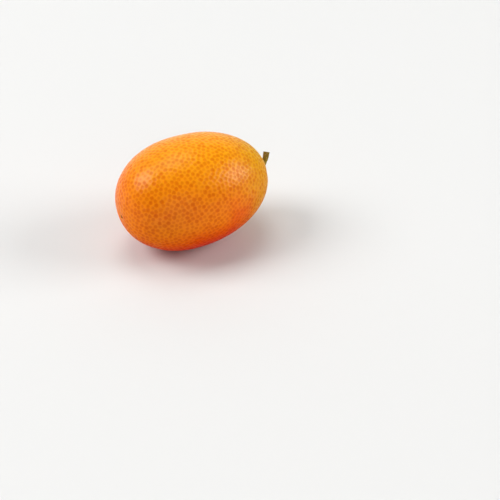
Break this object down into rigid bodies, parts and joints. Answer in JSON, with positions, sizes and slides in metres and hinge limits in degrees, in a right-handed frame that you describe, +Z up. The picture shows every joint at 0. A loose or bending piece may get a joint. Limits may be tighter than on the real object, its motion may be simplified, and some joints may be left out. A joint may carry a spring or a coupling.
{
  "type": "kumquat",
  "caption": "Whole oval kumquat with glossy orange pitted peel, a small lobed calyx and a short cut green stem, lying on its side.",
  "frame": {"origin": "middle of the small flat resting spot under the fruit, on the surface it rests on", "axes": "+Z up; +X along the fruit's core from the blossom end to the stem end; +Y across the fruit"},
  "size_m": [0.0405, 0.0268, 0.0264],
  "materials": {
    "peel": "glossy waxy orange citrus peel with darker oil-gland dots, yellow-green at the stem end",
    "calyx": "matt light green, browning at the tips of the lobes",
    "stem": "matt green stalk, finely ridged, with a pale cut end"
  },
  "bodies": {
    "root": {"kumquat_fruit": "peel", "calyx": "calyx", "stem": "stem"}
  },
  "joints": []
}
